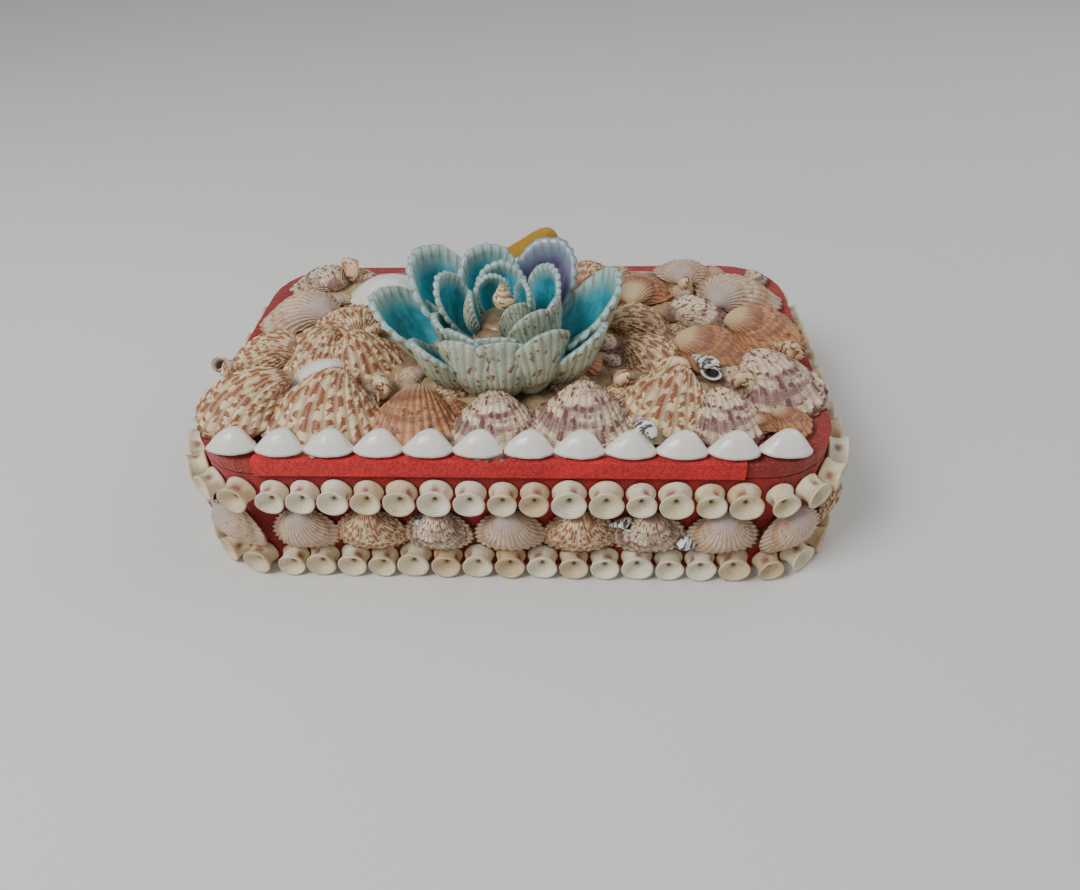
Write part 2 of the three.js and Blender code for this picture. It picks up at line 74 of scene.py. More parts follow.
def make_camera():
    yaw, pitch, roll = CAMERA["yaw"], CAMERA["pitch"], CAMERA["roll"]
    ahead = Vector((math.sin(yaw) * math.cos(pitch), math.cos(yaw) * math.cos(pitch), -math.sin(pitch)))
    level = Vector((math.cos(yaw), -math.sin(yaw), 0))
    above = level.cross(ahead)
    right = math.cos(roll) * level + math.sin(roll) * above
    up = math.cos(roll) * above - math.sin(roll) * level
    data = bpy.data.cameras.new("camera")
    data.lens, data.sensor_width, data.sensor_fit = CAMERA["lens"], 36, "HORIZONTAL"
    data.clip_start = 0.01
    camera = bpy.data.objects.new("camera", data)
    bpy.context.scene.collection.objects.link(camera)
    camera.matrix_world = Matrix.Translation(Vector(CAMERA["at"]) * MM) @ Matrix(
        [[right[k], up[k], -ahead[k]] for k in range(3)]
    ).to_4x4()
    bpy.context.scene.camera = camera


make_camera()

# ---- sizes, as in the frame -------------------------------------------------------------------------
GAP = 0.3
BOX = {"width": 172, "depth": 104, "corner": 19.5}
LID_TOP = 38.7
CLOTH_THICK = 0.6
CLOTH_TOP = LID_TOP + GAP + CLOTH_THICK
VERTEBRA = {"length": 5.4, "spread": 0.09, "per_side": 15}
UPPER_ROW_CENTRE = 29
BAND = {"bottom": 10, "top": 23.7, "cockles": 7, "snails": 5}  # counts are for each side
FLOWER = (-3, -13, LID_TOP + GAP)


def seeded(seed):
    state = seed

    def draw():
        nonlocal state
        state = (state * 16807) % 2147483647
        return state / 2147483647

    return draw


def straight_run(sign):
    length = BOX["width"] - 2 * BOX["corner"]

    def at(s, offset):
        return (sign * (length / 2 - s), sign * (BOX["depth"] / 2 + offset)), (0, sign)

    return {"length": lambda offset=0: length, "at": at}


def end_run(sign):
    straight = BOX["depth"] - 2 * BOX["corner"]

    def arc(offset):
        return (BOX["corner"] + offset) * math.pi / 2

    def at(s, offset):
        radius = BOX["corner"] + offset
        in_arc = s - arc(offset) if s < arc(offset) else max(0, s - arc(offset) - straight)
        angle = in_arc / radius
        slide = min(max(s - arc(offset), 0), straight) - straight / 2
        normal = (sign * math.cos(angle), sign * math.sin(angle))
        centre = (sign * (BOX["width"] / 2 - BOX["corner"]), sign * slide)
        return (centre[0] + normal[0] * radius, centre[1] + normal[1] * radius), normal

    return {"length": lambda offset=0: 2 * arc(offset) + straight, "at": at}


SIDES = {"front": straight_run(-1), "right": end_run(1), "back": straight_run(1), "left": end_run(-1)}


def basis(origin, x_axis, y_axis, z_axis):
    """4x4 with the given columns, as numpy."""
    m = np.eye(4)
    for k, axis in enumerate((x_axis, y_axis, z_axis, origin)):
        m[:3, k] = axis
    return m


def turned(angle, axis="Z"):
    return np.array(Matrix.Rotation(angle, 4, axis))


def moved(x, y, z):
    return np.array(Matrix.Translation((x, y, z)))


def wall_frame(run, s, offset, z, turn=0.0):
    (px, py), (nx, ny) = run["at"](s, offset)
    return basis((px, py, z), (-ny, nx, 0), (0, 0, 1), (nx, ny, 0)) @ turned(turn)


def lid_frame(x, y, bearing, tilt, floor):
    b, a = rad(bearing), rad(tilt)
    out = np.array((math.cos(b) * math.cos(a), math.sin(b) * math.cos(a), -math.sin(a)))
    side = np.array((math.sin(b), -math.cos(b), 0))
    return basis((x, y, floor), side, out, np.cross(side, out))


# ---- meshes -----------------------------------------------------------------------------------------
class Build:
    """Gathers patches of points, faces, materials and per-point numbers, then makes one object."""

    def __init__(self, name):
        self.name = name
        self.points, self.faces, self.kinds = [], [], []
        self.values = {}
        self.count = 0

    def patch(self, points, faces, kind=0, frame=None, **values):
        points = np.asarray(points, float).reshape(-1, 3)
        if frame is not None:
            points = points @ frame[:3, :3].T + frame[:3, 3]
        for key in values:
            self.values.setdefault(key, [np.zeros(self.count)] if self.count else [])
        for key, parts in self.values.items():
            given = values.get(key)
            parts.append(np.zeros(len(points)) if given is None else np.broadcast_to(
                np.asarray(given, float).reshape(-1), (len(points),)).copy())
        faces = np.asarray(faces, int)
        self.points.append(points)
        self.faces.append(faces + self.count)
        self.kinds.append(np.broadcast_to(np.asarray(kind), (len(faces),)).copy())
        self.count += len(points)

    def done(self, *materials, smooth=True):
        mesh = bpy.data.meshes.new(self.name)
        points = np.concatenate(self.points) * MM
        sizes = np.concatenate([np.full(len(f), f.shape[1]) for f in self.faces])
        corners = np.concatenate([f.reshape(-1) for f in self.faces])
        mesh.vertices.add(len(points))
        mesh.vertices.foreach_set("co", points.reshape(-1))
        mesh.loops.add(len(corners))
        mesh.loops.foreach_set("vertex_index", corners)
        mesh.polygons.add(len(sizes))
        mesh.polygons.foreach_set("loop_start", np.concatenate(([0], np.cumsum(sizes)[:-1])))
        mesh.polygons.foreach_set("material_index", np.concatenate(self.kinds))
        mesh.update(calc_edges=True)
        mesh.validate()
        if smooth:
            mesh.shade_smooth()
        for key, parts in self.values.items():
            layer = mesh.attributes.new(key, "FLOAT", "POINT")
            layer.data.foreach_set("value", np.concatenate(parts))
        obj = bpy.data.objects.new(self.name, mesh)
        bpy.context.scene.collection.objects.link(obj)
        for material in materials:
            mesh.materials.append(material)
        return obj


def strip_faces(rows, columns, closed=True, flip=False):
    """Quads of a grid of rows by columns; the columns wrap round if closed."""
    r = np.arange(rows - 1)[:, None]
    c = np.arange(columns if closed else columns - 1)[None, :]
    n = (c + 1) % columns
    a, b, d, e = r * columns + c, r * columns + n, (r + 1) * columns + n, (r + 1) * columns + c
    faces = np.stack([a, b, d, e], -1).reshape(-1, 4)
    return faces[:, ::-1] if flip else faces


def fan_faces(ring, tip, flip=False):
    ring = np.asarray(ring)
    faces = np.stack([ring, np.roll(ring, -1), np.full(len(ring), tip)], -1)
    return faces[:, ::-1] if flip else faces


def waves(seed, x, count=5, lowest=2.0, ratio=1.9):
    """A smooth seeded wobble of x, about -1 to 1."""
    draw = seeded(seed)
    total, weight = 0, 0
    for k in range(count):
        total = total + np.sin(x * lowest * ratio ** k + TURN * draw()) * 0.7 ** k
        weight += 0.7 ** k
    return total / weight


def grid_normals(p):
    along = np.gradient(p, axis=0)
    around = (np.roll(p, -1, 1) - np.roll(p, 1, 1)) / 2
    n = np.cross(around, along)
    n /= np.linalg.norm(n, axis=2, keepdims=True) + 1e-12
    return n


# ---- shells -----------------------------------------------------------------------------------------
VALVE = {"narrow": 0.86, "skew": 0.05, "dome": 0.95, "wide": 1.25, "long": 1.04, "tilt": 9}
UMBO_COIL = 2.55


def valve_surface(spec, around, coil):
    share = 0.03 + 0.97 * (1 - np.cos(around)) / 2
    taper = spec["narrow"] + (1 - spec["narrow"]) * share
    x = spec["width"] * (0.5 * np.sin(around) * taper + spec["skew"] * share * (1 - share))
    y = spec["height"] * share
    shrink = np.exp(-coil)
    return np.stack([x * shrink, y * np.cos(coil) * shrink, y * np.sin(coil) * spec["dome"] * shrink], -1)


def valve(build, spec, frame, seed=1, ribs=24, relief=0.035, beads=0, step=0.012, wall=None,
          rows=30, fine=6, kinds=(0, 0), shade=0.0):
    """One valve with its ribs, beads and growth steps. Its numbers: rib counts the ribs, crest is 1 on a rib and
    0 between two, growth is 0 at the umbo and 1 at the margin."""
    columns = max(ribs, 12) * fine if ribs else 72
    around = (np.arange(columns) + 0.5) / columns * TURN
    coil = UMBO_COIL * np.linspace(0, 1, rows) ** 1.15
    a, c = np.meshgrid(around, coil)
    wobble = 1 + 0.02 * waves(seed, a, 3, 3.0)
    base = valve_surface(spec, a, c) * wobble[..., None]
    normal = grid_normals(base)
    growth = (np.exp(-c) - math.exp(-UMBO_COIL)) / (1 - math.exp(-UMBO_COIL))
    side = np.clip((1 - np.cos(a)) / 2 * 6, 0, 1)
    crest = (0.5 + 0.5 * np.cos(a * ribs + 0.35 * waves(seed + 5, a, 2, 2.0))) ** 0.8 if ribs else np.zeros_like(a)
    size = spec["width"] * np.exp(-c)
    bead = 0.5 + 0.5 * np.cos(beads * TURN * growth) if beads else 1.0
    lift = relief * size * side * crest * (0.55 + 0.45 * bead)
    rings = waves(seed + 9, growth * 10, 4, 2.0, 1.7)
    lift += step * size * side * (rings + 0.4 * np.sin(growth * 90))
    outer = base + normal * lift[..., None]
    n = columns
    values = {"rib": a * ribs / TURN, "crest": crest, "growth": growth, "shade": np.full(a.shape, shade)}
    flat = {k: v.reshape(-1) for k, v in values.items()}
    if wall is None:
        rim = outer[0] * 0.94 + np.array([0, 0.03 * spec["height"], 0])
        tips = np.array([outer[-1].mean(0), [0, 0.45 * spec["height"], 0.02 * spec["height"]]])
        points = np.concatenate([outer.reshape(-1, 3), rim, tips])
        last = rows * n
        quads = np.concatenate([strip_faces(rows, n), np.stack([
            np.arange(n), last + np.arange(n), last + (np.arange(n) + 1) % n, (np.arange(n) + 1) % n], -1)])
        tris = np.concatenate([fan_faces((rows - 1) * n + np.arange(n), last + n),
                               fan_faces(last + np.arange(n), last + n + 1, True)])
        extra = {k: np.concatenate([v, v[:n], v[:2]]) for k, v in flat.items()}
        start = build.count
        build.patch(points, quads, kinds[0], frame, **extra)
        build.faces.append(tris + start)
        build.kinds.append(np.full(len(tris), kinds[0]))
        return
    inside = base - normal * np.minimum(wall, 0.35 * size)[..., None]
    inside += normal * (0.35 * lift * np.clip(growth * 4 - 3, 0, 1))[..., None]
    points = np.concatenate([outer.reshape(-1, 3), inside.reshape(-1, 3), outer[-1].mean(0)[None],
                             inside[-1].mean(0)[None]])
    last = rows * n
    lip = np.stack([np.arange(n), last + np.arange(n), last + (np.arange(n) + 1) % n, (np.arange(n) + 1) % n], -1)
    quads = np.concatenate([strip_faces(rows, n), strip_faces(rows, n, flip=True) + last, lip])
    marks = np.concatenate([np.full(len(quads) // 2 - n // 2, kinds[0]), np.full((len(quads) - n) // 2, kinds[1]),
                            np.full(n, kinds[1])])
    tris = np.concatenate([fan_faces((rows - 1) * n + np.arange(n), 2 * last),
                           fan_faces(last + (rows - 1) * n + np.arange(n), 2 * last + 1, True)])
    extra = {k: np.concatenate([v, v, v[:2]]) for k, v in flat.items()}
    start = build.count
    build.patch(points, quads, marks, frame, **extra)
    build.faces.append(tris + start)
    build.kinds.append(np.concatenate([np.full(n, kinds[0]), np.full(n, kinds[1])]))


def snail(build, frame, length, across, seed=1, whorls=4.5, ratio=1.55, plump=0.31, ribs=0, relief=0.05,
          kinds=(0, 0), sides=18, per_whorl=22, tall=1.15):
    """A coiled shell about local Y, apex at 0 and mouth at length. Its numbers: along counts whorls,
    ring goes once round the tube."""
    steps = int(whorls * per_whorl)
    theta = np.linspace(0, whorls, steps)
    size = ratio ** (theta - whorls)
    phi = np.arange(sides) / sides * TURN
    tube = plump * across * size
    reach = (0.5 * across - plump * across) * size
    deep = tall * (1 - 1 / ratio) * length * 0.62 * size
    high = (length - deep[-1]) * size / size[-1]
    ridge = 1 + relief * np.cos(theta * TURN * ribs) if ribs else np.ones(steps)
    ridge = ridge * (1 + 0.02 * waves(seed, theta * 9))
    radial = reach[:, None] + tube[:, None] * np.cos(phi) * ridge[:, None]
    lift = high[:, None] + deep[:, None] * np.sin(phi) * ridge[:, None]
    angle = theta[:, None] * TURN + seed
    points = np.stack([radial * np.cos(angle), lift, radial * np.sin(angle)], -1)
    lip = points[-1]
    middle = lip.mean(0)
    back = points[-4].mean(0)
    mouth = [middle + (lip - middle) * k for k in (1.06, 0.86)]
    throat = [back + (lip - middle) * 0.6]
    rows = np.concatenate([points, np.array(mouth), np.array(throat)])
    count = len(rows)
    everything = np.concatenate([rows.reshape(-1, 3), points[0].mean(0)[None], back[None]])
    along = np.concatenate([theta, [whorls] * 3])
    values = {
        "along": np.append(np.repeat(along, sides), [0, whorls]),
        "ring": np.append(np.tile(phi / TURN, count), [0, 0]),
        # mouth is 1 on the throat row and its back point, which snail_look paints near-black as painted shade
        "mouth": np.append(np.repeat([0] * steps + [0.6, 0.9, 1.0], sides), [0, 1]),
        "growth": np.append(np.repeat(np.concatenate([size, [1, 1, 1]]), sides), [0, 1]),
    }
    quads = strip_faces(count, sides, flip=True)
    start = build.count
    build.patch(everything, quads, kinds[0], frame, **values)
    build.faces.append(np.concatenate([
        fan_faces(np.arange(sides), count * sides),
        fan_faces((count - 1) * sides + np.arange(sides), count * sides + 1, True),
    ]) + start)
    build.kinds.append(np.full(2 * sides, kinds[0]))


# ---- materials --------------------------------------------------------------------------------------
class Look:
    """A node material round one Principled shader."""

    def __init__(self, name):
        self.material = bpy.data.materials.new(name)
        self.material.use_nodes = True
        self.tree = self.material.node_tree
        self.shader = self.tree.nodes["Principled BSDF"]
        self.place = self.add("ShaderNodeTexCoord").outputs["Object"]

    def add(self, kind, **settings):
        node = self.tree.nodes.new(kind)
        for key, value in settings.items():
            setattr(node, key, value)
        return node

    def feed(self, socket, value):
        if isinstance(value, bpy.types.NodeSocket):
            self.tree.links.new(value, socket)
        elif value is not None:
            socket.default_value = (*value, 1) if isinstance(value, tuple) and len(value) == 3 and \
                socket.type == "RGBA" else value

    def number(self, name):
        return self.add("ShaderNodeAttribute", attribute_name=name).outputs["Fac"]

    def noise(self, scale, detail=3.0, rough=0.55, at=None, twist=0.0):
        node = self.add("ShaderNodeTexNoise")
        self.feed(node.inputs["Vector"], at or self.place)
        node.inputs["Scale"].default_value = scale
        node.inputs["Detail"].default_value = detail
        node.inputs["Roughness"].default_value = rough
        node.inputs["Distortion"].default_value = twist
        return node.outputs["Fac"]

    def math(self, kind, a, b=0.0, c=0.0, clamp=False):
        node = self.add("ShaderNodeMath", operation=kind, use_clamp=clamp)
        for socket, value in zip(node.inputs, (a, b, c)):
            self.feed(socket, value)
        return node.outputs[0]

    def spread(self, value, low, high, to_low=0.0, to_high=1.0):
        """value taken smoothly from low..high to to_low..to_high."""
        node = self.add("ShaderNodeMapRange", interpolation_type="SMOOTHSTEP")
        for socket, given in zip(node.inputs, (value, low, high, to_low, to_high)):
            self.feed(socket, given)
        return node.outputs[0]

    def mix(self, share, a, b, kind="MIX"):
        node = self.add("ShaderNodeMix", data_type="RGBA", blend_type=kind)
        for key, value in ((0, share), (6, a), (7, b)):
            self.feed(node.inputs[key], value)
        return node.outputs[2]

    def vector(self, x, y, z=0.0):
        node = self.add("ShaderNodeCombineXYZ")
        for socket, value in zip(node.inputs, (x, y, z)):
            self.feed(socket, value)
        return node.outputs[0]

    def colour(self, value):
        self.feed(self.shader.inputs["Base Color"], value)

    def rough(self, value, low, high):
        self.feed(self.shader.inputs["Roughness"], self.spread(value, 0.3, 0.7, low, high))

    def bump(self, *layers):
        """Each layer is a height and its depth in millimetres."""
        height = None
        for value, depth in layers:
            part = self.math("MULTIPLY", value, depth * MM)
            height = part if height is None else self.math("ADD", height, part)
        node = self.add("ShaderNodeBump")
        node.inputs["Strength"].default_value = 1.0
        node.inputs["Distance"].default_value = 1.0
        self.feed(node.inputs["Height"], height)
        self.feed(self.shader.inputs["Normal"], node.outputs[0])


CACHE = {}


def shell_look(name, ground, mark, groove_shade, spots=0.5, bands=0.3, umbo=None, seed=0.0, gloss=0.42, stretch=5.0):
    """Ribbed valve: spots that follow the ribs, growth bands, painted shade in the grooves between ribs, an umbo
    of its own colour.
    """
    if name in CACHE:
        return CACHE[name]
    look = Look(name)
    look.shader.inputs["Coat Weight"].default_value = 0.2
    look.shader.inputs["Coat Roughness"].default_value = 0.3
    look.shader.inputs["Subsurface Weight"].default_value = 0.06
    look.shader.inputs["Subsurface Radius"].default_value = (0.004, 0.003, 0.002)
    rib, crest, growth = look.number("rib"), look.number("crest"), look.number("growth")
    where = look.vector(look.math("MULTIPLY", rib, 0.85), look.math("MULTIPLY", growth, stretch * 2.2), seed)
    patches = look.noise(1.0, 2.0, 0.5, where)
    dapple = look.noise(2.3, 2.0, 0.6, where)
    band_at = look.vector(look.math("MULTIPLY", rib, 0.06), look.math("MULTIPLY", growth, stretch), seed + 7)
    rings = look.noise(1.0, 3.0, 0.6, band_at)
    cloud = look.noise(120, 4.0, 0.6)
    pale = tuple(min(1.0, v * 1.22 + 0.05) for v in ground)
    tone = look.mix(look.spread(cloud, 0.35, 0.65), ground, pale)
    tone = look.mix(look.spread(rings, 0.62 - 0.25 * bands, 0.80 - 0.25 * bands, 0, 0.85), tone, mark)
    on_rib = look.spread(crest, 0.15, 0.6, 0.35, 1.0)
    blot = look.spread(patches, 0.66 - 0.28 * spots, 0.72 - 0.28 * spots)
    tone = look.mix(look.math("MULTIPLY", blot, on_rib), tone, mark)
    deep = tuple(v * 0.55 for v in mark)
    tone = look.mix(look.math("MULTIPLY", look.spread(dapple, 0.64, 0.72, 0, 0.8), on_rib), tone, deep)
    # painted shade: the grooves between the ribs are darkened towards the groove shade colour
    tone = look.mix(look.spread(crest, 0.0, 0.55, 0.62, 0.0), tone, groove_shade)
    if umbo:
        tone = look.mix(look.spread(growth, 0.12, 0.45, 0.9, 0.0), tone, umbo)
    dust = look.noise(900, 3.0, 0.7)
    tone = look.mix(look.spread(dust, 0.5, 0.75, 0, 0.25), tone, (0.62, 0.55, 0.45))
    look.colour(tone)
    look.rough(cloud, gloss, gloss + 0.25)
    fine = look.math("SINE", look.math("MULTIPLY", growth, 260.0))
    look.bump((dust, 0.12), (fine, 0.03), (look.noise(2600, 2.0), 0.05))
    CACHE[name] = look.material
    return look.material


def porcelain_look():
    look = Look("porcelain_shell")
    look.shader.inputs["Coat Weight"].default_value = 0.5
    look.shader.inputs["Coat Roughness"].default_value = 0.18
    look.shader.inputs["Subsurface Weight"].default_value = 0.12
    look.shader.inputs["Subsurface Radius"].default_value = (0.005, 0.004, 0.003)
    growth, rib = look.number("growth"), look.number("rib")
    rings = look.noise(1.0, 4.0, 0.65, look.vector(look.math("MULTIPLY", rib, 0.1),
                                                   look.math("MULTIPLY", growth, 14.0), 3.0))
    cloud = look.noise(160, 3.0)
    tone = look.mix(look.spread(rings, 0.4, 0.7), (0.84, 0.80, 0.72), (0.93, 0.91, 0.87))
    tone = look.mix(look.spread(cloud, 0.55, 0.75, 0, 0.45), tone, (0.83, 0.72, 0.58))
    tone = look.mix(look.spread(growth, 0.1, 0.3, 0.5, 0.0), tone, (0.78, 0.62, 0.45))
    grime = look.noise(700, 4.0, 0.7)
    tone = look.mix(look.spread(grime, 0.62, 0.8, 0, 0.4), tone, (0.45, 0.33, 0.22))
    look.colour(tone)
    look.rough(cloud, 0.22, 0.42)
    look.bump((rings, 0.06), (grime, 0.05))
    return look.material


def petal_looks(name, inside, edge, outside, mark):
    """The smooth coloured inside of a flower petal and its ribbed outside."""
    inner = Look(name + "_inside")
    inner.shader.inputs["Coat Weight"].default_value = 0.45
    inner.shader.inputs["Coat Roughness"].default_value = 0.22
    rib, crest, growth = inner.number("rib"), inner.number("crest"), inner.number("growth")
    cloud = inner.noise(140, 4.0, 0.6)
    streak = inner.noise(1.0, 3.0, 0.6, inner.vector(inner.math("MULTIPLY", rib, 0.5),
                                                     inner.math("MULTIPLY", growth, 3.0), 1.0))
    deep = tuple(v * 0.62 for v in inside)
    light = tuple(min(1, v * 1.35 + 0.06) for v in inside)
    tone = inner.mix(inner.spread(cloud, 0.35, 0.65), deep, inside)
    tone = inner.mix(inner.spread(streak, 0.45, 0.7, 0, 0.8), tone, light)
    tone = inner.mix(inner.spread(growth, 0.80, 0.97, 0, 0.85), tone, edge)
    teeth = inner.math("MULTIPLY", inner.spread(growth, 0.86, 0.95), inner.spread(crest, 0.45, 0.15))
    tone = inner.mix(inner.math("MULTIPLY", teeth, 0.55), tone, mark)
    grime = inner.noise(800, 3.0, 0.7)
    tone = inner.mix(inner.spread(grime, 0.6, 0.8, 0, 0.3), tone, (0.55, 0.48, 0.36))
    inner.colour(tone)
    inner.rough(cloud, 0.25, 0.5)
    inner.bump((cloud, 0.25), (grime, 0.04))
    # the outside colour darkened is the painted shade in the grooves between ribs
    outer = shell_look(name + "_outside", outside, mark, tuple(v * 0.6 for v in outside), spots=0.35, bands=0.45,
                       umbo=inside, seed=len(name) * 1.7)
    return outer, inner.material


def snail_look(name, ground, mark, stripe, spots=0.5, bands=0.4, seed=0.0, turns=3.0):
    look = Look(name)
    look.shader.inputs["Coat Weight"].default_value = 0.4
    look.shader.inputs["Coat Roughness"].default_value = 0.2
    along, ring, mouth = look.number("along"), look.number("ring"), look.number("mouth")
    where = look.vector(look.math("MULTIPLY", along, 5.0), look.math("MULTIPLY", ring, 7.0), seed)
    spot = look.noise(1.0, 2.0, 0.5, where, 0.4)
    line = look.noise(1.0, 2.0, 0.5, look.vector(look.math("MULTIPLY", along, 0.15),
                                                 look.math("MULTIPLY", ring, 4.0 * turns), seed))
    cloud = look.noise(260, 3.0)
    tone = look.mix(look.spread(cloud, 0.35, 0.65), ground, tuple(min(1, v * 1.25 + 0.04) for v in ground))
    tone = look.mix(look.spread(line, 0.64 - 0.2 * bands, 0.70 - 0.2 * bands, 0, 0.8), tone, stripe)
    tone = look.mix(look.spread(spot, 0.66 - 0.26 * spots, 0.70 - 0.26 * spots, 0, 0.95), tone, mark)
    tone = look.mix(look.spread(mouth, 0.3, 0.6, 0, 0.8), tone, tuple(min(1, v * 1.1 + 0.1) for v in ground))
    # painted shade: the throat inside the mouth is made near-black
    tone = look.mix(look.spread(mouth, 0.85, 1.0), tone, (0.03, 0.02, 0.015))
    grime = look.noise(1100, 3.0, 0.7)
    tone = look.mix(look.spread(grime, 0.6, 0.8, 0, 0.35), tone, (0.4, 0.3, 0.2))
    look.colour(tone)
    look.rough(cloud, 0.25, 0.5)
    look.bump((grime, 0.08), (look.math("SINE", look.math("MULTIPLY", along, 150.0)), 0.03))
    return look.material


def bone_look():
    look = Look("bone")
    look.shader.inputs["Subsurface Weight"].default_value = 0.08
    look.shader.inputs["Subsurface Radius"].default_value = (0.003, 0.002, 0.001)
    zone, slot, tint = look.number("zone"), look.number("slot"), look.number("tint")
    cloud = look.noise(220, 4.0, 0.6)
    tone = look.mix(look.spread(cloud, 0.35, 0.65), (0.72, 0.60, 0.36), (0.86, 0.79, 0.58))
    tone = look.mix(look.spread(tint, 0.4, 1.0, 0, 0.7), tone, (0.90, 0.86, 0.70))
    tone = look.mix(look.spread(tint, 0.35, 0.0, 0, 0.55), tone, (0.62, 0.42, 0.22))
    rings = look.math("SINE", look.math("MULTIPLY", zone, 46.0))
    tone = look.mix(look.spread(rings, 0.2, 1.0, 0, 0.30), tone, (0.55, 0.42, 0.24))
    # painted shade: the conical dimple in each face darkens to brown and to near-black at its centre
    tone = look.mix(look.spread(zone, 0.34, 0.10, 0, 0.75), tone, (0.42, 0.25, 0.13))
    tone = look.mix(look.spread(zone, 0.12, 0.06, 0, 1.0), tone, (0.05, 0.02, 0.01))
    tone = look.mix(look.math("MULTIPLY", slot, 0.9), tone, (0.30, 0.09, 0.045))
    stain = look.noise(480, 4.0, 0.7)
    tone = look.mix(look.spread(stain, 0.56, 0.74, 0, 0.5), tone, (0.50, 0.22, 0.12))
    look.colour(tone)
    look.rough(cloud, 0.42, 0.68)
    look.bump((stain, 0.14), (rings, 0.05), (look.noise(2400, 2.0), 0.05))
    return look.material


def velvet_look(name, dark, bright, dust, dusty=0.35):
    look = Look(name)
    look.shader.inputs["Sheen Weight"].default_value = 0.7
    look.shader.inputs["Sheen Roughness"].default_value = 0.45
    look.shader.inputs["Sheen Tint"].default_value = (1.0, 0.45, 0.4, 1)
    pile = look.noise(1500, 4.0, 0.7)
    nap = look.noise(130, 3.0, 0.6, twist=0.6)
    tone = look.mix(look.spread(pile, 0.35, 0.65), dark, bright)
    tone = look.mix(look.spread(nap, 0.45, 0.7, 0, 0.45), tone, tuple(min(1, v * 1.25) for v in bright))
    lint = look.noise(900, 5.0, 0.75)
    tone = look.mix(look.spread(lint, 0.62 - 0.12 * dusty, 0.78, 0, 0.55 * dusty + 0.15), tone, dust)
    look.colour(tone)
    look.rough(nap, 0.8, 0.98)
    look.bump((pile, 0.35), (nap, 0.3))
    return look.material


def glue_look():
    look = Look("old_glue")
    look.shader.inputs["Coat Weight"].default_value = 0.5
    look.shader.inputs["Coat Roughness"].default_value = 0.15
    look.shader.inputs["Subsurface Weight"].default_value = 0.2
    look.shader.inputs["Subsurface Radius"].default_value = (0.004, 0.002, 0.001)
    cloud, grime = look.noise(90, 4.0, 0.6), look.noise(650, 4.0, 0.7)
    tone = look.mix(look.spread(cloud, 0.35, 0.65), (0.20, 0.11, 0.05), (0.50, 0.38, 0.20))
    tone = look.mix(look.spread(grime, 0.5, 0.75, 0, 0.7), tone, (0.40, 0.14, 0.08))
    look.colour(tone)
    look.rough(cloud, 0.2, 0.55)
    look.bump((grime, 0.3), (cloud, 0.5))
    return look.material


def ribbon_look():
    look = Look("woven_ribbon")
    look.shader.inputs["Sheen Weight"].default_value = 0.35
    look.shader.inputs["Sheen Roughness"].default_value = 0.4
    across, along = look.number("across"), look.number("along")
    warp = look.math("SINE", look.math("MULTIPLY", across, TURN * 14))
    weft = look.math("SINE", look.math("MULTIPLY", along, TURN * 60))
    weave = look.math("MULTIPLY", warp, weft)
    cloud = look.noise(400, 3.0)
    tone = look.mix(look.spread(weave, -0.5, 0.7), (0.58, 0.28, 0.02), (0.90, 0.60, 0.06))
    tone = look.mix(look.spread(cloud, 0.5, 0.75, 0, 0.5), tone, (0.95, 0.74, 0.22))
    look.colour(tone)
    look.rough(cloud, 0.5, 0.75)
    look.bump((weave, 0.12), (warp, 0.06))
    return look.material


BONE = bone_look()
PORCELAIN = porcelain_look()
GLUE = glue_look()
VELVET = velvet_look("velvet", (0.16, 0.004, 0.006), (0.42, 0.012, 0.012), (0.62, 0.40, 0.34))
BOARD = velvet_look("lid_covering", (0.14, 0.006, 0.008), (0.36, 0.015, 0.014), (0.55, 0.30, 0.18), 0.8)
CLOTH_LOOK = velvet_look("hinge_velvet", (0.36, 0.004, 0.008), (0.78, 0.02, 0.025), (0.85, 0.45, 0.42), 0.25)

# ---- pull ribbon ------------------------------------------------------------------------------------
RIBBON = {"width": 4.6, "thick": 0.5}
RIBBON_ROUTE = [
    ((8, 52.7, 34.8), (1, 0, 0)), ((8, 52.8, 39.5), (1, 0, 0)), ((8.4, 52.4, 45), (1, 0.2, 0)),
    ((8.8, 51.6, 49.4), (0.9, 0.4, 0.2)), ((7.2, 51, 51.6), (0.6, 0.5, 0.6)), ((4, 50.4, 50.8), (0, 0.5, 0.9)),
    ((0, 50, 48.4), (-0.4, 0.3, 0.8)), ((-5.6, 49.6, 45.2), (-0.4, 0.2, 0.8)),
]


def smooth_route(points, per=6):
    """Catmull-Rom through the points."""
    p = np.array([points[0], *points, points[-1]], float)
    out = []
    for i in range(1, len(p) - 2):
        for t in np.arange(per) / per:
            a, b, c, d = p[i - 1], p[i], p[i + 1], p[i + 2]
            out.append(0.5 * (2 * b + (c - a) * t + (2 * a - 5 * b + 4 * c - d) * t ** 2
                              + (3 * b - a - 3 * c + d) * t ** 3))
    return np.array([*out, p[-2]])


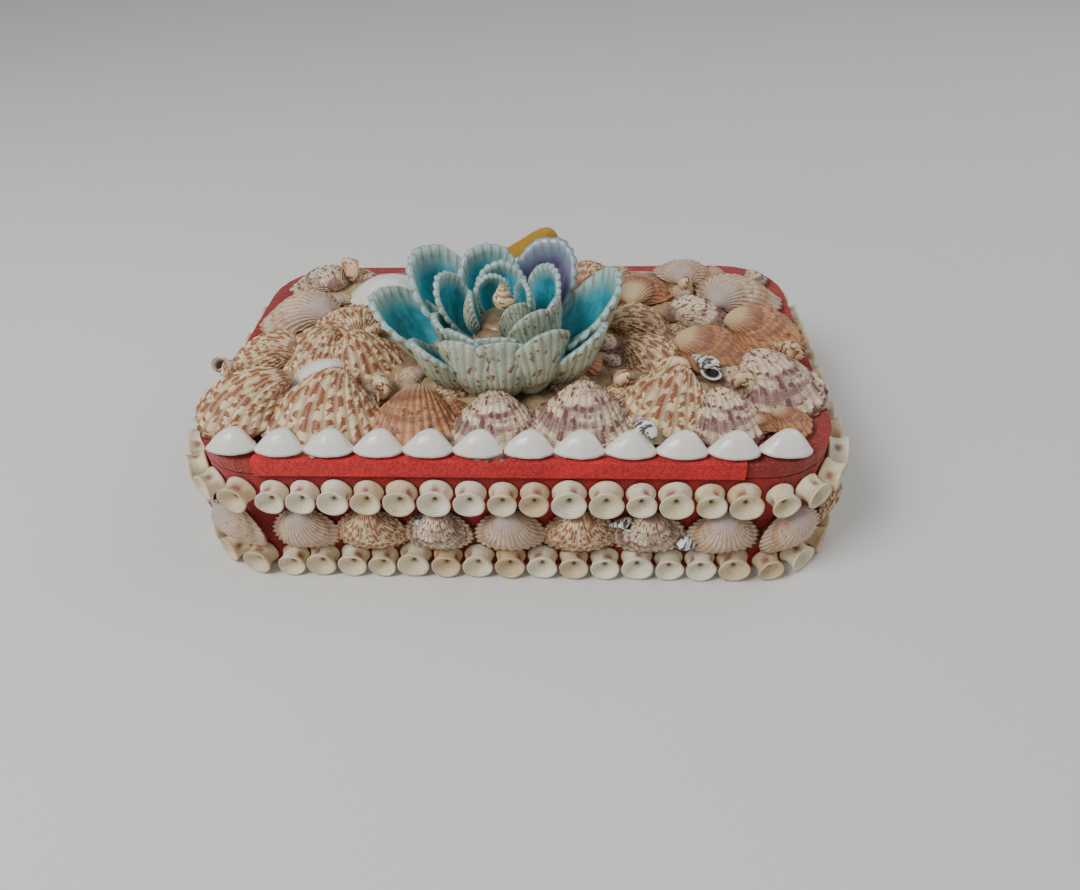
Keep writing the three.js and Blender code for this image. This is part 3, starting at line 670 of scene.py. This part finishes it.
def ribbon_piece():
    middle = smooth_route([at for at, wide in RIBBON_ROUTE])
    wide = smooth_route([wide for at, wide in RIBBON_ROUTE])
    ahead = np.gradient(middle, axis=0)
    ahead /= np.linalg.norm(ahead, axis=1, keepdims=True)
    normal = np.cross(wide, ahead)
    normal /= np.linalg.norm(normal, axis=1, keepdims=True)
    wide = np.cross(ahead, normal)
    build = Build("pull_ribbon_cloth")
    lanes = 14
    t = np.linspace(-0.5, 0.5, lanes)
    cupping = 0.25 * np.cos(t * math.pi)
    sheets = [middle[:, None] + wide[:, None] * (t * RIBBON["width"])[None, :, None]
              + normal[:, None] * (cupping + side * RIBBON["thick"] / 2)[None, :, None] for side in (0.7, -0.7)]
    loop = np.concatenate([sheets[0], sheets[1][:, ::-1]], 1)
    rows, n = loop.shape[:2]
    along = np.repeat(np.linspace(0, 1, rows), n)
    across = np.tile(np.concatenate([t, t[::-1]]), rows)
    build.patch(loop, strip_faces(rows, n), 0, None, along=along, across=across)
    draw = seeded(7)
    for k in range(26):  # frayed threads at the cut end
        lane = (draw() - 0.5) * RIBBON["width"] * 0.96
        start = middle[-1] + wide[-1] * lane - ahead[-1] * 0.6
        lean = ahead[-1] + wide[-1] * (draw() - 0.5) * 0.9 + normal[-1] * (draw() - 0.5) * 0.9
        reach = 1.2 + 2.2 * draw()
        bow = normal[-1] * (draw() - 0.5) * 1.0
        ring = []
        for j in range(6):
            u = j / 5
            centre = start + lean * reach * u + bow * u * u
            for q in range(4):
                a = TURN * q / 4
                ring.append(centre + (wide[-1] * math.cos(a) + normal[-1] * math.sin(a)) * 0.09 * (1 - 0.6 * u))
        build.patch(ring, strip_faces(6, 4), 0, None, along=1.0, across=lane)
    return build.done(ribbon_look()), middle


ribbon, ribbon_path = ribbon_piece()
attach(ribbon, "lid")
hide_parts("pull_ribbon")

# ---- covered board, hinge cloth, rows of vertebrae ----------------------------------------------------
for node, look in (("box_tray", VELVET), ("lid_board", BOARD), ("hinge_cloth", CLOTH_LOOK)):
    frame["nodes"][node].data.materials.clear()
    frame["nodes"][node].data.materials.append(look)
PROFILE = np.array([[0, 0], [.9, 0], [.98, .06], [.86, .28], [.82, .5], [.87, .74], [.98, .93], [.96, 1],
                    [.86, .98], [.7, .86], [.5, .7], [.3, .6], [.13, .54], [.08, .42], [.01, .4]])


def place(obj, node, body):
    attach(obj, body)
    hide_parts(node)


def vertebra_row(name, side, seed, centre):
    run, draw, build = SIDES[side], seeded(seed), Build(name + "_bone")
    widths = [1 + VERTEBRA["spread"] * (2 * draw() - 1) for _ in range(VERTEBRA["per_side"])]
    scale, left = (run["length"](GAP) - 2 * GAP) / sum(widths), GAP
    fine = np.stack([np.interp(np.linspace(0, 14, 43), range(15), PROFILE[:, k]) for k in (0, 1)], -1)
    angle = np.arange(32) / 32 * TURN
    for i, share in enumerate(widths):
        across = share * scale
        turn = draw() * TURN
        slot = np.clip(np.cos((2 + i % 2) * angle + turn) * 3 - 1.6, 0, 1)[None] * (
            np.exp(-((fine[:, 1] - .5) / .22) ** 2) * (np.arange(43) < 21))[:, None]
        uneven = 1 + .025 * waves(seed + i, np.stack([angle] * 43), 3, 2)
        r = fine[:, :1] * across * .485 * uneven * (1 - .2 * slot)
        out = fine[:, 1:] * VERTEBRA["length"] * (1 + .03 * np.sin(angle * 2 + turn))
        grid = np.stack([r * np.cos(angle), r * np.sin(angle), out], -1)
        zone = np.where(np.arange(43) > 21, fine[:, 0], 1.3)[:, None] * np.ones(32)
        spot = wall_frame(run, left + across / 2, GAP, centre or across / 2)
        build.patch(grid, strip_faces(43, 32), 0, spot, zone=zone, slot=slot, tint=draw())
        left += across
    obj = build.done(BONE)
    place(obj, name, "box")


for i, side in enumerate(SIDES):
    vertebra_row("vertebrae_lower_" + side, side, 11 + i, 0)
    vertebra_row("vertebrae_upper_" + side, side, 31 + i, UPPER_ROW_CENTRE)

# ---- shells -------------------------------------------------------------------------------------------
CREAM, RUST, PLUM, TAN = (.70, .53, .30), (.30, .09, .03), (.17, .05, .05), (.48, .25, .11)
# the fourth colour of each is the painted shade in the grooves between ribs
LOOKS = [shell_look("cream_spotted", CREAM, RUST, (.30, .17, .08), .7, .3),
         shell_look("cream_plum", (.74, .60, .40), PLUM, (.35, .22, .15), .5, .8, seed=4),
         shell_look("orange_brown", (.52, .22, .07), (.25, .08, .04), (.20, .09, .05), .4, .7, CREAM, 8),
         shell_look("pinkish_grey", (.60, .44, .31), TAN, (.30, .16, .11), .3, .5, (.5, .4, .38), 12)]
SNAIL_LOOK = snail_look("snail_brown", (.70, .50, .30), (.22, .08, .03), TAN)
DOTTED = snail_look("snail_dotted", (.85, .82, .76), (.03, .02, .02), TAN, .7)
COCKLE = {"narrow": .62, "skew": 0, "dome": 1.1, "height": 16}
for i, side in enumerate(SIDES):
    run, draw, build = SIDES[side], seeded(51 + i), Build("cockles_" + side)
    length = run["length"](GAP)
    for k in range(BAND["cockles"]):
        spec = {**COCKLE, "width": 25 * (.88 + .14 * draw())}
        spot = wall_frame(run, length * (k + .5) / 7, GAP + .6, BAND["top"] - .5, math.pi + .2 * (draw() - .5))
        valve(build, spec, spot, 60 + 9 * i + k, 30, .03, 16, rows=22, fine=4, kinds=((3, 0, 1)[k % 3],) * 2)
    for k in range(BAND["snails"]):
        s = length * (k + .5) / 5 + (4 if k % 2 else -4)
        high = BAND["top"] - 3.2 if k % 2 else BAND["bottom"] + 3
        spot = wall_frame(run, s, GAP + 3, high, (1 if draw() > .5 else -1) * 1.4) @ moved(0, -4.5, 0)
        snail(build, spot, 9, 4.6, k + 1, kinds=(4, 4))
    place(build.done(*LOOKS, DOTTED), "cockle_band_" + side, "box")

LID_SNAILS = [
    ("round_open", -59, 38, 250, 9, 9),
    ("spotted_cone", -36, -27, 285, 12, 7.5),
    ("dark_turret", -43, 1, 205, 14, 5.5),
    ("orange_cream", -81, -20, 200, 9, 7),
    ("small_orange", 30, -24, 300, 8, 6.5),
    ("olive_cream", 43, -19, 340, 13, 7),
    ("black_dotted", 35, -45, 285, 10, 6.5),
    ("open_barrel", 62, -26, 290, 10, 8),
    ("white_ribbed", 54, -18, 310, 13, 7),
    ("cream_lying", 78, -10, 330, 12, 6.5),
    ("small_grey", 53, 29, 270, 9, 6),
]
for k, (name, x, y, bearing, length, across) in enumerate(LID_SNAILS):
    b = rad(bearing)
    build = Build("snail_" + name)
    spot = lid_frame(x - math.cos(b) * length / 2, y - math.sin(b) * length / 2, bearing, 0,
                     CLOTH_TOP + GAP + across / 2 + 2.5)
    snail(build, spot, length, across, k + 1, ribs=14 if "ribbed" in name else 0)
    place(build.done(DOTTED if "dotted" in name or "white" in name else SNAIL_LOOK), "lid_snail_" + name, "lid")

LID_VALVES = [
    ("front_spotted_cream", -74, -32, 215, 25, 0), ("front_ribbed_cream", -50, -37, 262, 27, 0),
    ("front_orange_brown", -25, -39, 270, 21, 2), ("front_banded_white", -3, -41, 275, 21, 1),
    ("front_purple_brown", 20, -39, 268, 23, 1), ("front_spotted_tall", 42, -32, 245, 24, 0),
    ("front_small_banded", 58, -37, 285, 18, 1), ("front_purple_banded", 73, -24, 300, 24, 1),
    ("left_spotted", -75, -6, 160, 21, 0), ("left_cream", -61, -8, 240, 21, 0),
    ("left_smooth_clam", -57, -20, 205, 17, 4), ("left_spotted_blue", -44, -12, 300, 22, 0),
    ("left_beaded", -71, 16, 150, 23, 3), ("left_yellow_cream", -54, 9, 120, 23, 0),
    ("left_back_open", -45, 29, 100, 24, 4), ("left_back_corner", -69, 37, 130, 20, 1),
    ("right_spotted", 41, -9, 330, 19, 0), ("right_round_brown", 59, -6, 350, 22, 2),
    ("right_orange_brown", 75, 5, 350, 22, 2), ("right_ribbed_cream", 38, 10, 20, 20, 0),
    ("right_banded", 56, 15, 30, 20, 1), ("right_orange_back", 37, 30, 80, 21, 2),
    ("right_concentric", 69, 26, 50, 24, 3), ("back_upright_brown", 19, 26, 60, 21, 2),
    ("back_row_1", -22, 35, 100, 24, 0), ("back_row_2", -1, 34, 90, 23, 1),
    ("back_row_3", 21, 44, 80, 15, 0), ("back_row_4", 54, 42, 75, 18, 3),
]
SHELL_LOOKS = [*LOOKS, PORCELAIN]


def lid_valve(build, x, y, bearing, across, seed, look, ribs, lift=0.0):
    spec = {**VALVE, "width": VALVE["wide"] * across, "height": VALVE["long"] * across}
    b, half = rad(bearing), spec["height"] / 2
    floor = LID_TOP + GAP + spec["height"] * math.sin(rad(VALVE["tilt"])) + lift
    spot = lid_frame(x - math.cos(b) * half, y - math.sin(b) * half, bearing, VALVE["tilt"], floor)
    valve(build, spec, spot, seed, ribs, 0.03 if ribs else 0, 14 if seed % 2 else 0, kinds=(look, look))


for k, (name, x, y, bearing, across, look) in enumerate(LID_VALVES):
    build = Build("shell_" + name)
    lid_valve(build, x, y, bearing, across, 100 + k, 0, 0 if look == 4 else 22 + k % 5)
    place(build.done(SHELL_LOOKS[look]), "lid_shell_" + name, "lid")

# Small shells and glue in the gaps between the large ones.
draw, build, bed = seeded(91), Build("filler_shells"), Build("glue_bed")
taken = [(x, y, across * 0.42) for name, x, y, bearing, across, look in LID_VALVES]
for k in range(900):
    x, y, across = (draw() - 0.5) * 156, (draw() - 0.5) * 84, 7 + 4 * draw()
    if all(math.hypot(x - p, y - q) > r + across * 0.3 for p, q, r in taken):
        past_corner = math.hypot(max(abs(x) - 66, 0), max(abs(y) - 32, 0))
        if math.hypot(x - FLOWER[0], y - FLOWER[1]) > 17 and past_corner < 14:
            lid_valve(build, x, y, draw() * 360, across, 200 + k, k % 4, 14, 1.2)
            taken.append((x, y, across * 0.42))
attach(build.done(*LOOKS), "lid")
angles = np.arange(160) / 160 * TURN
reach = np.linspace(0, 1, 46)[:, None]
super_r = (np.abs(np.cos(angles) / 80) ** 5 + np.abs(np.sin(angles) / 46) ** 5) ** -0.2
gx, gy = reach * super_r * np.cos(angles), reach * super_r * np.sin(angles)
height = np.vectorize(lambda x, y: noise.noise((x * 0.16, y * 0.16, 3)) + 0.5 * noise.noise((x * 0.5, y * 0.5, 8)))
gz = CLOTH_TOP + 0.5 + (1.6 + 1.3 * height(gx, gy)) * np.clip((1 - reach) * 9, 0, 1)
bed.patch(np.stack([gx, gy, gz], -1), strip_faces(46, 160))
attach(bed.done(GLUE), "lid")

WEDGE = {"narrow": 0.85, "skew": 0.3, "dome": 2.0, "width": 14.5, "height": 7.6}
build = Build("white_wedge_shells")
for k in range(12):
    x = -71 + k * 13
    y = -48.2 + max(0, abs(x) - 66.5) ** 2 / 39 + 3.5
    valve(build, WEDGE, lid_frame(x, y, 270, 0, CLOTH_TOP + GAP + 0.8), 300 + k, 0, 0, step=0.006)
place(build.done(PORCELAIN), "wedge_shell_row", "lid")

# ---- flower -------------------------------------------------------------------------------------------
PETAL = {"narrow": 0.66, "skew": 0.06, "dome": 0.9}
# Each ring: reach, foot, hub radius, hub bottom, hub top, and petals as bearing, rise, length, width.
RINGS = {
    "outer": (9, 3.5, 12, 0, 9, [
        (12, 46, 35, 25), (-24, 42, 29, 20), (-54, 58, 26, 22), (-85, 60, 24, 24), (-113, 58, 24, 23),
        (-143, 44, 25, 19), (168, 35, 34, 25), (137, 48, 35, 24), (103, 58, 30, 22), (62, 48, 34, 24)]),
    "middle": (7.5, 9.5, 9.6, 9.3, 14, [
        (196, 50, 17, 15), (158, 62, 22, 17), (232, 54, 16, 19), (270, 58, 15, 20),
        (310, 66, 20, 17), (342, 64, 20, 16), (38, 62, 22, 17), (92, 68, 20, 17)]),
    "inner": (5.2, 14.5, 7.2, 14.3, 19, [
        (184, 78, 13, 11), (112, 80, 14, 12), (28, 80, 14, 12), (306, 76, 13, 11)]),
}
TEAL_OUT, TEAL_IN = petal_looks(
    "teal_petal", (0.03, 0.38, 0.48), (0.45, 0.66, 0.62), (0.40, 0.44, 0.32), (0.26, 0.12, 0.05))
VIOLET_OUT, VIOLET_IN = petal_looks(
    "violet_petal", (0.12, 0.08, 0.20), (0.30, 0.45, 0.52), (0.30, 0.28, 0.30), (0.30, 0.16, 0.2))
for ring, (reach, foot, hub, bottom, top, petals) in RINGS.items():
    build = Build("petals_" + ring)
    for k, (bearing, rise, length, width) in enumerate(petals):
        b, a = rad(bearing), rad(rise)
        out, up = np.array((math.cos(b), math.sin(b), 0)), np.array((0, 0, 1))
        along, convex = out * math.cos(a) + up * math.sin(a), out * math.sin(a) - up * math.cos(a)
        origin = np.array((FLOWER[0], FLOWER[1], FLOWER[2] + foot)) + out * reach
        kinds = (2, 3) if bearing == 62 else (0, 1)
        spot = basis(origin, np.cross(along, convex), along, convex)
        spec = {**PETAL, "width": width, "height": length}
        valve(build, spec, spot, 400 + k + int(reach * 7), 24, 0.03, 12, wall=1.1, kinds=kinds, rows=26)
    t = np.linspace(0, 1, 12)[:, None]
    spin = np.arange(48) / 48 * TURN
    size = hub * (1 - 0.2 * t) * np.where(t < 0.99, 1, 0.02) * (1 + 0.03 * np.sin(spin * 5 + t * 4))
    rise = FLOWER[2] + bottom + (top - bottom) * np.minimum(t * 1.05, 1)
    build.patch(np.stack([FLOWER[0] + size * np.cos(spin), FLOWER[1] + size * np.sin(spin), rise + 0 * spin], -1),
                strip_faces(12, 48), 4)
    place(build.done(TEAL_OUT, TEAL_IN, VIOLET_OUT, VIOLET_IN, GLUE), "flower_" + ring + "_petals", "lid")
build = Build("centre_snail")
spot = basis((FLOWER[0] + 1, FLOWER[1], FLOWER[2] + 30.6), (1, 0, 0), (0, 0, -1), (0, 1, 0))
snail(build, spot, 11, 8, 5)
place(build.done(SNAIL_LOOK), "flower_centre_snail", "lid")

# ---- floor and light ----------------------------------------------------------------------------------
bpy.ops.mesh.primitive_plane_add(size=6, location=(0, 0, -0.0001))
floor = bpy.context.object
floor.name = "floor"
paper = Look("pale_floor")
paper.colour(paper.mix(paper.noise(4), (0.74, 0.73, 0.71), (0.80, 0.79, 0.77)))
paper.rough(paper.noise(30), 0.7, 0.85)
floor.data.materials.append(paper.material)
world = bpy.data.worlds.new("studio")
bpy.context.scene.world = world
world.use_nodes = True
world.node_tree.nodes["Background"].inputs[0].default_value = (0.95, 0.97, 1, 1)
world.node_tree.nodes["Background"].inputs[1].default_value = 0.35
for name, at, size, power in (("key", (-0.45, -0.35, 0.7), 0.35, 5.5), ("fill", (0.6, 0.2, 0.6), 0.6, 1.8)):
    light = bpy.data.lights.new(name, "AREA")
    light.size, light.energy = size, power
    lamp = bpy.data.objects.new(name, light)
    lamp.location = at
    lamp.rotation_euler = (-Vector(at)).to_track_quat("-Z", "Y").to_euler()
    bpy.context.scene.collection.objects.link(lamp)
